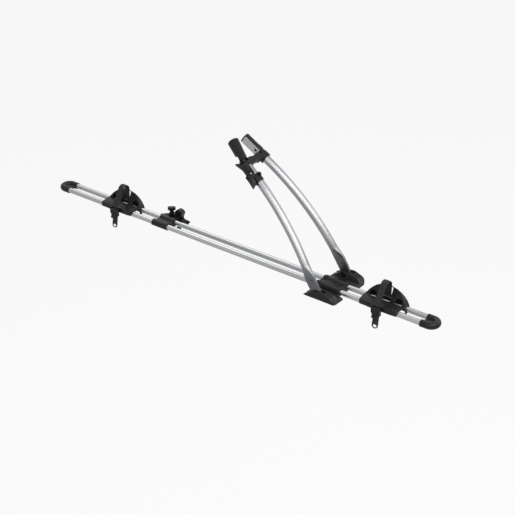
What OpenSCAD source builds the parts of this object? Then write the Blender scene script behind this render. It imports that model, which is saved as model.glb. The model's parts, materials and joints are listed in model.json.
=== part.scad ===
// Roof mounted bike carrier: a twin tube rail on two roof bar feet, two sliding wheel
// trays with straps, and a folding pair of arms with a clamp head for the frame tube.
// X runs along the rail, +Z is up, and the origin is on the main foot's bar seat,
// straight below the arm pivot. -X is the front of the bike.

/* [Rail] */
// Length over both end caps
rail_len = 1490; // [1440:10:1700]
// Outside diameter of each rail tube
tube_d = 17; // [15:0.5:18]
// Wall of the rail tubes
tube_wall = 1.6; // [1:0.1:3]
// Distance between the two tube axes
tube_pitch = 38.5; // [36:0.5:42]
// Height of the tube axes over the roof bars
rail_z = 12; // [12:0.5:15]
// Distance from the arm pivot to the rear end of the rail
rear_reach = 372.5; // [350:2.5:450]
// Outside diameter of the end caps
cap_d = 22; // [20.5:0.5:24]
// Length of tube inside an end cap
cap_grip = 21; // [14:1:40]
// Thickness of the web inside the end cap's bend
cap_web = 6; // [3:0.5:10]

/* [Arms] */
// Outside diameter of the arm tubes
arm_d = 25; // [24:0.5:28]
// Wall of the arm tubes
arm_wall = 2; // [1.2:0.1:4]
// Distance of each arm axis from the rail's middle, at the pivot
arm_axis_y = 79; // [77:0.5:82]
// Height of the arm pivot over the tube axes
pivot_h = 10; // [9:0.5:14]
// Slope of the arm above the horizontal at its foot
foot_slope = 57; // [50:1:64]
// Slope of the arm above the horizontal at its top end
top_slope = 33; // [31:0.5:37]
// Straight length from the pivot to the bend
foot_run = 88; // [80:1:110]
// Radius of the bend
bend_r = 830; // [780:10:880]
// Inward tilt of each arm
arm_tilt = 5.3; // [4.5:0.1:6]
// Width of the flattened foot
blade_w = 36; // [35:1:42]
// Thickness of the flattened foot
blade_t = 8; // [5:0.5:9]
// Distance of each flattened foot from the rail's middle
blade_y = 76; // [75:0.5:78]
// Length of the flattened foot above the pivot
blade_run = 46; // [40:1:55]
// Radius of the flattened foot's lower end
blade_end_r = 16; // [13:0.5:17]
// Diameter of the pivot bolt's shank
pivot_d = 10; // [8:0.5:12]
// Diameter of the rivet through the flattened foot
rivet_d = 6; // [4:0.5:8]

/* [Main foot] */
// Front edge of the foot, ahead of the pivot
foot_front = 40; // [36:1:50]
// Rear edge of the tube saddle, behind the pivot
foot_rear = 46; // [40:1:55]
// Wall of the saddle round the tubes
saddle_wall = 4; // [3:0.5:5]
// Half width of the seat on the roof bar
seat_half_w = 38; // [36:1:42]
// Rear end of the pivot housings, behind the pivot
wing_rear = 66; // [62:1:74]
// Outer edge of the pivot housings
wing_out = 88; // [87.5:0.5:92]
// Height of the pivot housings' lower edge
wing_low = 7; // [6:0.5:9]
// Height of the pivot housings' ridge
wing_top = 32; // [31:0.5:36]
// Thickness of the pivot housings' inner cheek
cheek_t = 11; // [8:0.5:13]
// Diameter of the bar bolt holes
bar_hole_d = 8.5; // [6.5:0.5:9]
// Distance between the bar bolt holes
bar_hole_pitch = 24; // [18:1:28]
// Diameter of the saddle screws
screw_d = 6; // [4:0.5:6]
// Distance of each saddle screw from the saddle's middle
screw_x = 30; // [26:1:33]

/* [Clamp head] */
// Outside radius of the far jaw
far_jaw_r = 16.2; // [15.5:0.1:17.5]
// Outside radius of the near jaw at its open end
near_jaw_r = 18.2; // [17:0.1:19]
// Reach of the far jaw beyond its arm tube
far_reach = 78; // [68:1:84]
// Reach of the near jaw beyond its arm tube
near_reach = 86; // [76:1:90]
// Distance of the clamping faces from the jaws' axes
face_in = 7.7; // [6.5:0.1:9]
// Turn of the jaws to the arms' upper side
jaw_pitch = 4; // [2:0.5:6]
// Thickness of the jaw pads
pad_t = 4; // [3:0.5:5]
// Wall of the sockets round the arm tops
socket_wall = 3; // [2.5:0.1:3.4]
// Length of the far socket
socket_len = 16; // [13:1:18]
// Length of the near socket
near_socket_len = 10; // [9:1:14]
// Width of the bridge along the arms
bridge_w = 24; // [18:1:28]
// Height of the bridge
bridge_h = 18; // [12:1:22]
// Diameter of the jaw's hinge pin
jaw_pin_d = 5; // [4:0.5:5.5]
// Inward lean of the near jaw at rest
jaw_lean = 11.5; // [4:0.5:13]
// Inward lean of the far jaw
far_lean = 2.5; // [0:0.5:3.5]

/* [Clamp lever] */
// Distance of the lever collar's middle from the arm's end
collar_back = 57; // [55:1:64]
// Length of the lever collar
collar_len = 26; // [20:1:30]
// Turn of the lever round the arm, away from the outer side
lever_turn = 2; // [0:1:15]
// Length of the lever beyond its pin
lever_len = 54; // [40:1:56]
// Half of the angle that the lever wraps
lever_wrap = 58; // [45:1:60]
// Thickness of the lever's shell
lever_t = 4.5; // [3:0.5:6]
// How far the lever's tip flares out
lever_flare = 7; // [3:0.5:10]
// Diameter of the lever pin
lever_pin_d = 5; // [4:0.5:6]
// Turn of the finger hook round the arm, away from the outer side
hook_turn = 25; // [15:1:35]
// Length of the finger hook below the collar
hook_drop = 22; // [10:1:28]
// Diameter of the release button
button_d = 9; // [6:0.5:10]
// Travel of the release button
button_travel = 3; // [1:0.5:4]

/* [Wheel trays] */
// Place of the rear tray behind the pivot
rear_tray_x = 182; // [178:1:190]
// Place of the front tray ahead of the pivot
front_tray_x = 842; // [830:1:860]
// Half length of the tray at the near tube
tray_near_half = 63; // [50:1:66]
// Half length of the tray at the far tube
tray_far_half = 72; // [68:1:80]
// Height of the half moon wall over the tube axes
moon_top = 50; // [46:1:60]
// Depth of the half moon wall below the tube axes
moon_low = 10.5; // [9:0.5:11]
// Outward lean of the half moon's inner wall
moon_lean = 28; // [20:1:30]
// Wall of the tray moulding
tray_wall = 3; // [2.5:0.1:4]
// Width of the side windows
window_w = 24; // [16:1:28]
// Height of the side windows up the wall
window_h = 19; // [12:1:22]
// Distance of the side windows from the tray's middle
window_x = 44; // [40:1:48]
// Depth of the near skirt below the tube axes
skirt_low = 3.5; // [2:0.5:6]
// Width of the strap opening
slot_w = 30; // [26:1:34]
// Diameter of the tray screws
tray_screw_d = 5; // [4:0.5:6]

/* [Straps] */
// Width of the strap
strap_w = 20.5; // [16:0.5:22]
// Thickness of the strap
strap_t = 3; // [2:0.25:4]
// Height of the strap's arch over the tube axes
strap_top = 75.5; // [72:0.5:84]
// Distance of the strap's near leg from the rail's middle
strap_near_y = 36; // [35:0.5:38]
// Distance of the strap's far leg from the rail's middle
strap_far_y = 26; // [25:0.25:26.5]
// Radius of the strap's bend over the wheel
arch_r = 16; // [13:0.5:18]
// Lean of the strap's near leg
strap_lean = 32; // [26:1:36]
// Outward lean of the strap's tail
tail_lean = 9; // [0:1:10]
// Length of the strap's tail below the tube axes
tail_drop = 60; // [45:1:70]
// Width of the buckle
buckle_w = 29; // [27:0.5:34]
// Height of the buckle
buckle_h = 30; // [26:1:36]
// Diameter of the buckle's pin
buckle_pin_d = 3; // [2.5:0.25:4]

/* [Front foot] */
// Place of the front foot ahead of the pivot
front_foot_x = 658; // [650:1:665]
// Length of the front foot on the tubes
clip_len = 60; // [56:1:70]
// Distance of the bar clamp from the rail's middle
clamp_y = 45; // [44:0.5:48]
// Thickness of the bar clamp's hooks
hook_t = 12; // [8:1:13]
// Width of the roof bar between the hooks
bar_w = 32; // [20:1:36]
// Height of the roof bar between the seat and the hooks
bar_h = 24; // [18:1:28]
// Height of the clamp housing over the seat
housing_top = 48; // [45:1:54]
// Diameter of the hook pins
hook_pin_d = 6; // [4:0.5:7]
// Diameter of the clamp bolt
clamp_bolt_d = 6; // [5:0.5:8]
// Length of the knob's wings
knob_w = 26; // [22:1:28]

/* [Fits] */
// Gap between moving pieces
run_gap = 0.4; // [0.3:0.05:0.5]
// Radial gap of a pin in its bore
pin_gap = 0.05; // [0.02:0.01:0.08]
// Radial gap of pieces that are fixed together
fix_gap = 0.05; // [0.02:0.01:0.1]
// Radial gap of a straight bore round the bent arm
bend_gap = 0.25; // [0.22:0.01:0.35]

/* [Hidden] */
$fn = 64;
black = [0.13, 0.13, 0.14];
dark = [0.2, 0.2, 0.21];
alloy = [0.78, 0.8, 0.82];
steel = [0.6, 0.61, 0.63];
rubber = [0.6, 0.6, 0.62];
near = -1;
far = 1;
much = 400;

half_pitch = tube_pitch / 2;
tube_r = tube_d / 2;
rail_back = rear_reach;
rail_front = rear_reach - rail_len;
bend_reach = half_pitch + cap_d / 2;
tube_back = rail_back - bend_reach;
tube_front = rail_front + bend_reach;
saddle_r = tube_r + saddle_wall;
pivot_z = rail_z + pivot_h;

// Unit vectors along an arm at slope a, and square to it on the arm's upper side
function along(a) = [-cos(a), 0, sin(a)];
function above(a) = [sin(a), 0, cos(a)];
mid_slope = (foot_slope + top_slope) / 2;
bend_start = foot_run * along(foot_slope);
bend_middle = bend_start - bend_r * above(foot_slope);
// Slope of the bend at a distance back from the arm's end, and its axis at a slope
function slope_at(back) = top_slope + back / bend_r * 180 / PI;
function bend_point(a) = bend_middle + bend_r * above(a);
// A point of the arm's own plane, moved by the arm's tilt and brought to the rail's middle
function middle_point(p) = above(mid_slope) * (p * above(mid_slope))
    + along(mid_slope) * (p * along(mid_slope)) * cos(arm_tilt);
neck_lap = 3;
neck_step = 0.6;

nut_y = blade_y - blade_t / 2 - cheek_t + 3;
nut_t = 6;
rivet_run = blade_run - 9;
bolt_past = 4.5;
wing_corner = 18;

arm_r = arm_d / 2;
socket_r = arm_r + socket_wall;
cap_t = 3.5;
knuckle_r = jaw_pin_d / 2 + 2;
knuckle_half = 8.5;
fork_in = knuckle_half + run_gap;
fork_t = 3.5;
fork_low = 1.2;
hinge_out = 10;
hinge_lift = cap_t + knuckle_r + 1.3;
shell_lift = knuckle_r + 1.1;
near_axis = 8;
notch_in = 10.2;
notch_turn = 44;
notch_len = 24;
jaw_lip = 2.5;
jaw_low = 1.8;
pad_low = 14;
far_pad_r = far_jaw_r - 2.2;
near_pad_r = near_jaw_r - 4.7;
pad_sink = pad_t - 0.8;
pad_hole_d = 10;
pad_hole_up = 11;
pad_bend_r = 60;
bridge_half = 30;
bridge_up = 2;
join_y = 8;
bridge_screw_d = screw_d - 1.5;
bridge_screw_z = 6;

collar_r = arm_r + 3.5;
lever_in_r = socket_r + 1.8;
lever_out_r = lever_in_r + lever_t;
lever_pin_r = lever_in_r + lever_t / 2 + 1;
boss_r = lever_pin_d / 2 + 3;
pin_back = collar_back - collar_len / 2 - boss_r - 0.5;
collar_low = pin_back - collar_back - collar_len / 2;
boss_half = 8;
lever_split = 6;
tip_start = 10;
tip_turn = 37;
lever_notch = 8;
ear_in = boss_half + run_gap;
ear_t = 4;
ear_out = ear_in + ear_t;
ear_run = 13;
open_from = 25;
open_to = 100;
button_rim = button_d / 2 + 2.5;
button_back = collar_back - collar_len / 2 + button_rim;
button_seat = arm_r + 3;
button_boss = collar_r + 3;

wall_in_y = strap_near_y - strap_t / 2 - 2.6;
floor_low = tube_r + 0.6;
floor_cut = 3;
floor_ease = 0.3;
sill = 2;
lean_foot_y = half_pitch - tube_r - 1;
rear_skin = half_pitch + tube_r + tray_wall + 0.8;
arch_y = strap_far_y - arch_r;
arch_z = strap_top - arch_r - strap_t / 2;
strap_step = 7.5;
hole_w = 13;
hole_h = 9;
strap_pin_d = 5;
strap_pin_y = half_pitch + 3.5;
strap_pin_z = 16;
tray_screw_x = 30;
tray_clip_half = 42;
clip_top = 4 - moon_low;
buckle_top = 13;
buckle_low = buckle_top - buckle_h;
buckle_out = strap_near_y + strap_t / 2 + 7;
buckle_pin_z = 5;
buckle_pin_y = strap_near_y + strap_t / 2 + 4;

clip_r = tube_r + run_gap + 3.4;
hook_pin_x = bar_w / 2 + 10;
hook_pin_y = half_pitch + tube_r + run_gap + 2;
hook_pin_z = 7;
clip_screw_x = 20;
housing_y = clamp_y + hook_t / 2 + run_gap;
housing_t = 5;
boss_z = hook_pin_z + 12;
boss_h = 7;
knob_x = -8;
block_x = 12;
knob_base = boss_z + boss_h + run_gap;
knob_lift = 11;
knob_turn = 38;
bolt_grip = 3;

// Placing helpers
module along_x(x0, x1, r) {
    translate([x0, 0, 0]) rotate([0, 90, 0]) cylinder(r = r, h = x1 - x0);
}
module at_tube(side) {
    translate([0, side * half_pitch, rail_z]) children();
}
module both_tubes(x0, x1, r) {
    for (side = [near, far]) at_tube(side) along_x(x0, x1, r);
}
module arm_plane(side) {
    translate([0, side * arm_axis_y, pivot_z])
        rotate(a = side * arm_tilt, v = above(mid_slope)) children();
}
// Local Z runs up the arm and local X to its upper side, at a distance back from its end
module arm_at(side, back) {
    arm_plane(side) translate(bend_point(slope_at(back)))
        rotate([0, slope_at(back) - 90, 0]) children();
}
module blade_plane(side) {
    translate([0, side * blade_y, pivot_z]) rotate([90, 0, 0])
        rotate([0, 0, 90 - foot_slope]) children();
}
module yz_extrude(x0, x1) {
    translate([x0, 0, 0]) rotate([90, 0, 90]) linear_extrude(x1 - x0) children();
}
module xz_extrude(y0, y1) {
    translate([0, y1, 0]) rotate([90, 0, 0]) linear_extrude(y1 - y0) children();
}

// Rail
module rail_tube(side) {
    at_tube(side) difference() {
        along_x(tube_front, tube_back, tube_r);
        along_x(tube_front - 1, tube_back + 1, tube_r - tube_wall);
    }
}
module end_cap(end_x, dir) {
    color(black) translate([end_x, 0, rail_z]) rotate([0, 0, dir > 0 ? 0 : 180])
        difference() {
            union() {
                translate([-bend_reach, 0, 0]) rotate([0, 0, -90]) rotate_extrude(angle = 180)
                    translate([half_pitch, 0]) circle(d = cap_d);
                for (side = [near, far]) translate([0, side * half_pitch, 0])
                    along_x(-bend_reach - cap_grip, -bend_reach, cap_d / 2);
                translate([-bend_reach - cap_grip / 2, -half_pitch, -cap_web / 2])
                    cube([cap_grip / 2, tube_pitch, cap_web]);
                translate([-bend_reach, 0, -cap_web / 2])
                    cylinder(r = half_pitch, h = cap_web);
            }
            for (side = [near, far]) translate([0, side * half_pitch, 0])
                along_x(-bend_reach - cap_grip - 1, -bend_reach, tube_r + fix_gap);
        }
}

// Main foot
module saddle_section(r) {
    difference() {
        union() {
            for (side = [near, far]) translate([side * half_pitch, rail_z]) circle(r = r);
            translate([-half_pitch, 0]) square([tube_pitch, rail_z + tube_r - 1]);
            translate([-seat_half_w, 0]) square([2 * seat_half_w, rail_z]);
        }
        for (side = [near, far]) translate([side * half_pitch, rail_z]) circle(r = tube_r + fix_gap);
    }
}
module upper_part() {
    intersection() {
        children();
        translate([-much / 2, rail_z]) square([much, much]);
    }
}
module lower_part() {
    intersection() {
        children();
        translate([-much / 2, 0]) square([much, rail_z]);
    }
}
module foot_screw_cut(d) {
    for (x = [-screw_x, screw_x + 4]) translate([x, 0, -1]) cylinder(d = d, h = much / 4);
}
module foot_saddle() {
    color(black) difference() {
        union() {
            yz_extrude(-foot_front, foot_rear) upper_part() saddle_section(saddle_r);
            for (x = [-foot_front + 6, foot_rear - 7])
                yz_extrude(x, x + 6) upper_part() saddle_section(saddle_r + 1.5);
        }
        foot_screw_cut(screw_d + 2 * fix_gap);
        for (x = [-screw_x, screw_x + 4]) translate([x, 0, rail_z + tube_r - 5])
            cylinder(d = screw_d + 5, h = 20);
    }
}
module foot_seat_plate() {
    color(dark) difference() {
        yz_extrude(-foot_front, foot_rear) lower_part() saddle_section(saddle_r);
        foot_screw_cut(screw_d + 2 * fix_gap);
        for (x = [-1, 1]) translate([x * bar_hole_pitch / 2 + 1, 0, -1])
            cylinder(d = bar_hole_d, h = rail_z + 2);
    }
}
module foot_screws() {
    color(steel) for (x = [-screw_x, screw_x + 4]) translate([x, 0, 1])
        {
            cylinder(d = screw_d, h = rail_z + tube_r - 6);
            translate([0, 0, rail_z + tube_r - 6]) cylinder(d = screw_d + 3.5, h = screw_d / 2);
        }
}
module wing_section() {
    cheek = blade_y - blade_t / 2;
    polygon([[seat_half_w + fix_gap, wing_low - 5], [wing_out - 6, wing_low - 5], [wing_out, wing_low],
        [blade_y + blade_t / 2 + 5, wing_top], [cheek - 2, wing_top], [cheek - cheek_t, wing_top - 5],
        [cheek - cheek_t - 6, wing_low + 5], [seat_half_w + fix_gap, wing_low + 3]]);
}
module pivot_housing(side) {
    slot = blade_t + 2 * run_gap;
    color(black) scale_y(side) difference() {
        intersection() {
            yz_extrude(-foot_front, wing_rear) wing_section();
            xz_extrude(0, much) polygon([[-foot_front, 0], [-foot_front, wing_low + 2],
                [-foot_front / 2, wing_top - 11], [-pivot_d, wing_top - 4], [2 * pivot_d, wing_top],
                [foot_rear / 2 + 4, wing_top - 1], [wing_rear - 16, wing_low + 15],
                [wing_rear - 5, wing_low + 6], [wing_rear, wing_low], [wing_rear, 0]]);
        }
        translate([-much / 2, blade_y - slot / 2, 0]) cube([much / 2 + blade_end_r + 14, slot, much]);
        translate([0, 0, pivot_z]) rotate([-90, 0, 0]) {
            cylinder(d = pivot_d + 2 * fix_gap, h = blade_y + blade_t / 2 + bolt_past + 0.5);
            cylinder(d = pivot_d + 8, h = nut_y);
        }
        translate([wing_rear - wing_corner, wing_out - wing_corner, wing_low - 7]) difference() {
            cube([wing_corner + 1, wing_corner + 1, much / 4]);
            translate([0, 0, -1]) cylinder(r = wing_corner, h = much / 4 + 2);
        }
    }
}
module scale_y(side) {
    if (side > 0) children();
    else mirror([0, 1, 0]) children();
}
module pivot_bolts() {
    low = nut_y - nut_t + 0.5;
    color(steel) for (side = [near, far]) scale_y(side)
        translate([0, low, pivot_z]) rotate([-90, 0, 0])
            cylinder(d = pivot_d, h = blade_y + blade_t / 2 + bolt_past - low);
}
module pivot_nuts() {
    color(steel) for (side = [near, far]) scale_y(side)
        translate([0, nut_y, pivot_z]) rotate([90, 0, 0]) difference() {
            cylinder(d = pivot_d + 6, h = nut_t, $fn = 6);
            translate([0, 0, -1]) cylinder(d = pivot_d + 2 * fix_gap, h = nut_t + 2);
        }
}

// Arms
module blade_outline() {
    circle(r = blade_end_r);
    polygon([[-blade_end_r, 0], [blade_end_r, 0], [blade_w / 2, 20], [blade_w / 2, blade_run],
        [-blade_w / 2, blade_run], [-blade_w / 2, 20]]);
}
// The bent tube as a solid of radius r, moved up the bend by an angle
module arm_bend(side, skip, r) {
    arm_plane(side) rotate([90, 0, 0]) translate([bend_middle.x, bend_middle.z, 0])
        rotate([0, 0, 90 - foot_slope + skip])
            rotate_extrude(angle = foot_slope - top_slope, $fn = 360) translate([bend_r, 0])
                circle(r = r, $fn = 64);
}
module arm(side) {
    color(alloy) difference() {
        union() {
            blade_plane(side) linear_extrude(blade_t, center = true) blade_outline();
            hull() {
                blade_plane(side)
                    translate([neck_step - blade_w / 2, blade_run - neck_lap, neck_step - blade_t / 2])
                        cube([blade_w - 2 * neck_step, neck_lap / 2, blade_t - 2 * neck_step]);
                arm_plane(side) translate(bend_start) rotate([0, foot_slope - 90, 0])
                    cylinder(d = arm_d - neck_step, h = neck_lap, $fn = 48);
            }
            arm_bend(side, 0, arm_r);
        }
        arm_bend(side, 1, arm_r - arm_wall);
        blade_plane(side) translate([0, 0, -much / 8]) {
            cylinder(d = pivot_d + 2 * pin_gap, h = much / 4);
            translate([0, rivet_run, 0]) cylinder(d = rivet_d + 2 * fix_gap, h = much / 4);
        }
    }
}
module arm_rivets() {
    color(steel) for (side = [near, far]) blade_plane(side) translate([0, rivet_run, 0]) {
        cylinder(d = rivet_d, h = blade_t + 0.1, center = true);
        for (end = [-1, 1]) translate([0, 0, end * (blade_t / 2 + 1)])
            cylinder(d = rivet_d + 5, h = 2, center = true);
    }
}

// Clamp head
module jaw_frame(side) {
    arm_at(side, 0) rotate([0, jaw_pitch, 0]) children();
}
module bridge_frame() {
    translate(middle_point(bend_point(top_slope)) + [0, 0, pivot_z]) rotate([0, top_slope - 90, 0])
        translate([bridge_up, 0, 0]) children();
}
module socket(side, r, run) {
    arm_at(side, 0) translate([0, 0, -run]) cylinder(r = r, h = run + cap_t);
}
module socket_bore(side) {
    arm_at(side, 0) translate([0, 0, fix_gap - much / 4]) cylinder(r = arm_r + bend_gap, h = much / 4);
}
// A jaw round its axis: its outside is round, its inner face flat with a pocket for the pad
module jaw_body(r_low, r_end, low, end, pad_r) {
    difference() {
        union() {
            translate([0, 0, low]) cylinder(r1 = r_low, r2 = r_end, h = end - jaw_lip - low);
            translate([0, 0, end - jaw_lip]) cylinder(r1 = r_end, r2 = r_end - jaw_lip, h = jaw_lip);
        }
        translate([-much / 2, face_in - pad_t + pad_sink, -much / 2]) cube([much, much, much]);
        pad_block(pad_r + fix_gap, pad_low - fix_gap, end - jaw_lip - 1 + fix_gap, 0);
    }
}
module pad_block(r, low, high, gap) {
    intersection() {
        translate([0, 0, low]) cylinder(r = r, h = high - low);
        translate([-much / 2, face_in - pad_t + gap, -much / 2]) cube([much, pad_t - gap, much]);
    }
}
module jaw_pad(r, end) {
    difference() {
        pad_block(r, pad_low, end - jaw_lip - 1, fix_gap);
        translate([0, face_in + pad_bend_r - 1, 0]) cylinder(r = pad_bend_r, h = much);
        translate([0, 0, pad_low + pad_hole_up]) rotate([-90, 0, 0]) cylinder(d = pad_hole_d, h = much);
    }
}
module far_frame() {
    jaw_frame(far) rotate([-far_lean, 0, 180]) children();
}
module far_jaw() {
    color(black) difference() {
        union() {
            socket(far, far_jaw_r + 1.5, socket_len);
            far_frame() jaw_body(far_jaw_r, far_jaw_r, jaw_low, far_reach, far_pad_r);
            bridge_frame() translate([-bridge_h / 2, join_y, -bridge_w / 2])
                cube([bridge_h, bridge_half - join_y, bridge_w]);
        }
        socket_bore(far);
        bridge_screw_cut(bridge_screw_d + 2 * fix_gap);
    }
}
module far_jaw_pad() {
    color(rubber) far_frame() jaw_pad(far_pad_r, far_reach);
}
module bridge_screw_cut(d) {
    bridge_frame() for (z = [-bridge_screw_z, bridge_screw_z])
        translate([0, join_y - 17, z]) rotate([-90, 0, 0]) cylinder(d = d, h = 29);
}
module bridge_screws() {
    color(steel) bridge_frame() for (z = [-bridge_screw_z, bridge_screw_z])
        translate([0, join_y - 16, z]) rotate([-90, 0, 0]) cylinder(d = bridge_screw_d, h = 24);
}
module head_bridge() {
    color(black) difference() {
        union() {
            socket(near, socket_r, near_socket_len);
            bridge_frame() difference() {
                translate([-bridge_h / 2, -bridge_half, -bridge_w / 2])
                    cube([bridge_h, bridge_half + join_y, bridge_w]);
                for (end = [-1, 1]) translate([0, -2, end * (bridge_w / 2 + 26)]) rotate([0, 90, 0])
                    cylinder(r = 29, h = much, center = true);
            }
            jaw_frame(near) for (n = [-1, 1])
                translate([n > 0 ? fork_in : -fork_in - fork_t, -hinge_out, 0]) {
                    translate([0, 0, hinge_lift]) along_x(0, fork_t, knuckle_r);
                    translate([0, -knuckle_r, fork_low])
                        cube([fork_t, 2 * knuckle_r, hinge_lift - fork_low]);
                }
        }
        socket_bore(near);
        jaw_frame(near) translate([0, -hinge_out, hinge_lift])
            along_x(-much / 8, much / 8, jaw_pin_d / 2 + fix_gap);
        bridge_screw_cut(bridge_screw_d + 2 * fix_gap);
    }
}
module jaw_pin() {
    half = fork_in + fork_t + 0.5;
    color(steel) jaw_frame(near) translate([0, -hinge_out, hinge_lift])
        along_x(-half, half, jaw_pin_d / 2);
}
// The near jaw is drawn from its hinge
module lean_jaw() {
    jaw_frame(near) translate([0, -hinge_out, hinge_lift]) rotate([-jaw_lean, 0, 0]) children();
}
module near_jaw() {
    end = near_reach - hinge_lift;
    color(black) lean_jaw() difference() {
        union() {
            translate([0, near_axis, 0]) difference() {
                jaw_body(near_jaw_r - 3.2, near_jaw_r, shell_lift, end, near_pad_r);
                rotate([0, 0, -notch_turn]) translate([-much / 2, -much / 2 - notch_in, 0])
                    cube([much, much / 2, shell_lift + notch_len]);
            }
            along_x(-knuckle_half, knuckle_half, knuckle_r);
            translate([-knuckle_half, -2, 0]) cube([2 * knuckle_half, near_axis, shell_lift + 2]);
        }
        along_x(-much / 8, much / 8, jaw_pin_d / 2 + pin_gap);
    }
}
module near_jaw_pad() {
    end = near_reach - hinge_lift;
    color(rubber) lean_jaw() translate([0, near_axis, 0]) jaw_pad(near_pad_r, end);
}

// Clamp lever, drawn from its pin's height on the arm
module lever_frame() {
    arm_at(near, pin_back) rotate([0, 0, -lever_turn]) children();
}
module hook_frame() {
    arm_at(near, pin_back) rotate([0, 0, -hook_turn]) children();
}
module lever_collar() {
    color(black) difference() {
        union() {
            arm_at(near, collar_back) cylinder(r = collar_r, h = collar_len, center = true);
            arm_at(near, button_back) along_x(arm_r, button_boss, button_rim);
            lever_frame() {
                translate([-ear_out, -collar_r - 2, collar_low + 1])
                    cube([2 * ear_out, collar_r, collar_len - 2]);
                for (n = [-1, 1]) translate([n > 0 ? ear_in : -ear_out, -lever_pin_r, 0]) {
                    along_x(0, ear_t, boss_r);
                    translate([0, -boss_r, -ear_run]) cube([ear_t, 2 * boss_r, ear_run]);
                }
            }
            hull() {
                hook_frame() translate([-9, -collar_r - 2, collar_low + 1]) cube([18, 4, collar_len - 10]);
                hook_frame() translate([-7, -collar_r - hook_drop / 2, collar_low - 4])
                    rotate([0, 90, 0]) cylinder(r = 2, h = 14, $fn = 32);
            }
        }
        arm_at(near, collar_back) translate([0, 0, -collar_len]) {
            cylinder(r = arm_r + bend_gap, h = 2 * collar_len);
            linear_extrude(2 * collar_len) polygon([[0, 0], much / 8 * [cos(open_from), sin(open_from)],
                much / 8 * [cos(open_to), sin(open_to)]]);
        }
        lever_frame() translate([0, -lever_pin_r, 0])
            along_x(-much / 8, much / 8, lever_pin_d / 2 + fix_gap);
        arm_at(near, button_back) along_x(button_seat, much / 8, button_d / 2 + pin_gap);
    }
}
module clamp_lever() {
    flare_run = lever_len * 0.6;
    color(black) lever_frame() difference() {
        union() {
            rotate([0, 0, -90 - lever_wrap]) rotate_extrude(angle = 2 * lever_wrap)
                polygon([[lever_in_r, 0], [lever_out_r, 0], [lever_out_r, flare_run - 4],
                    [lever_out_r + lever_flare, lever_len], [lever_out_r + lever_flare - 4, lever_len],
                    [lever_in_r, flare_run]]);
            translate([0, -lever_pin_r, 0]) along_x(-boss_half, boss_half, boss_r);
        }
        translate([0, -lever_pin_r, 0]) along_x(-much / 8, much / 8, lever_pin_d / 2 + pin_gap);
        translate([0, 0, -much / 8 - boss_r]) cylinder(r = lever_in_r, h = much / 4);
        for (n = [-1, 1]) translate([n > 0 ? boss_half : -much / 8 - boss_half, -much / 8, -much / 8])
            cube([much / 8, much / 4, much / 8 + lever_notch]);
        translate([-lever_split / 2, -much / 8, -much / 8]) cube([lever_split, much / 4, much / 8 + 4]);
        translate([-tip_start, -much / 8, lever_len]) rotate([0, tip_turn, 0])
            cube([much / 8, much / 4, much / 8]);
    }
}
module lever_pin() {
    color(steel) lever_frame() translate([0, -lever_pin_r, 0]) {
        along_x(-ear_out, ear_out + 0.5, lever_pin_d / 2);
        along_x(-ear_out - 2, -ear_out, lever_pin_d / 2 + 1.5);
    }
}
module release_button() {
    color(dark) arm_at(near, button_back)
        along_x(button_seat + button_travel + 0.5, button_boss + button_travel + 1, button_d / 2);
}

// Wheel trays, drawn with z from the tube axes and x from the tray's middle
module tray_place(x) {
    translate([x, 0, rail_z]) children();
}
module moon(shrink) {
    a = tray_far_half - shrink;
    b = moon_top + moon_low - shrink;
    polygon(concat([[a, -moon_low - 20]],
        [for (t = [0 : 6 : 180]) [a * cos(t), b * sin(t) - moon_low]], [[-a, -moon_low - 20]]));
}
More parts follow.
